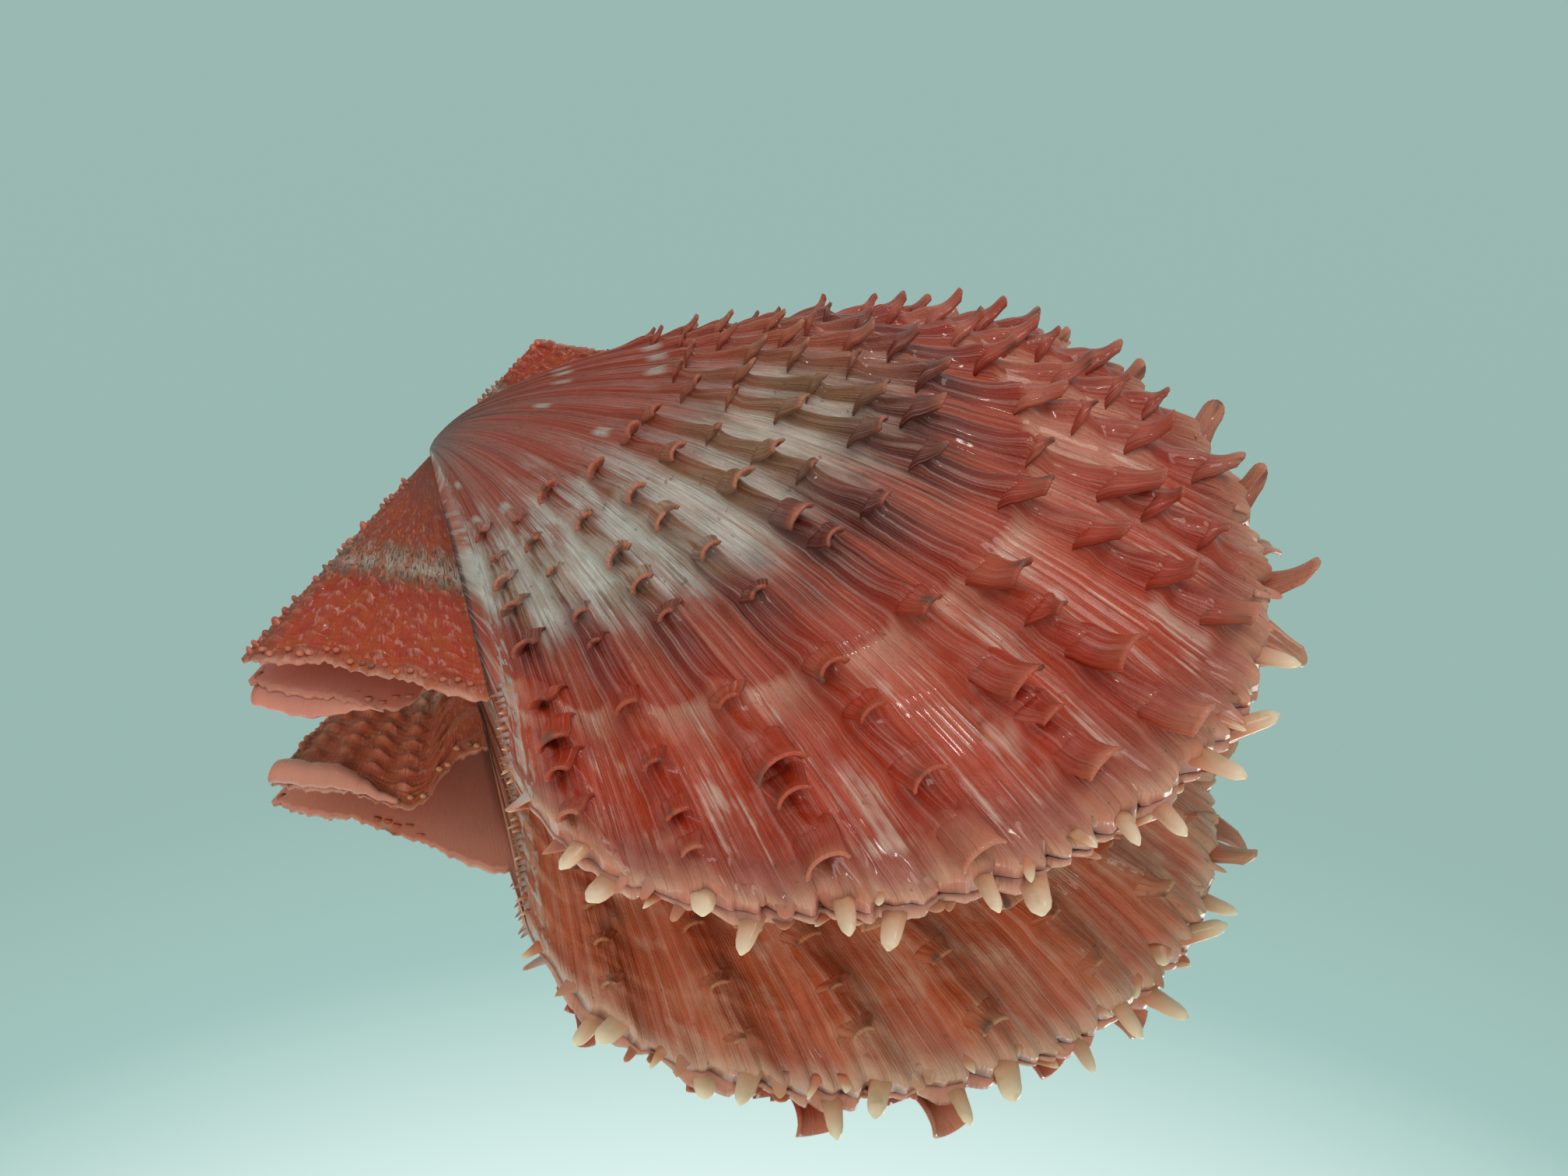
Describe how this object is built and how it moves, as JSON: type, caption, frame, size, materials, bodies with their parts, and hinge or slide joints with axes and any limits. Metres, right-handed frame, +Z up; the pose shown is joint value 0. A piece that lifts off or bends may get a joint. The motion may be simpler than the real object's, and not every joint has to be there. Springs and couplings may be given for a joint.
{
  "type": "scallop shell",
  "caption": "Closed spiny scallop shell: two ribbed valves with scale-bearing ribs, rim spines and unequal ears, lying on its right valve.",
  "frame": {"origin": "bottom centre of the bounding box, on the surface that the shell lies on", "axes": "+X from the hinge towards the ventral rim, -Y towards the large front ear, +Z up through the left valve, as the shell lies"},
  "size_m": [0.0582, 0.056, 0.0207],
  "materials": {
    "left_valve_shell": "natural shell, coral red with white and maroon flecks, satin to glossy",
    "right_valve_shell": "natural shell, orange-brown with pale streaks, satin",
    "ligament_horn": "dry dark horny ligament, matte"
  },
  "bodies": {
    "root": {"left_valve": "left_valve_shell", "right_valve": "right_valve_shell", "hinge_ligament": "ligament_horn"}
  },
  "joints": []
}
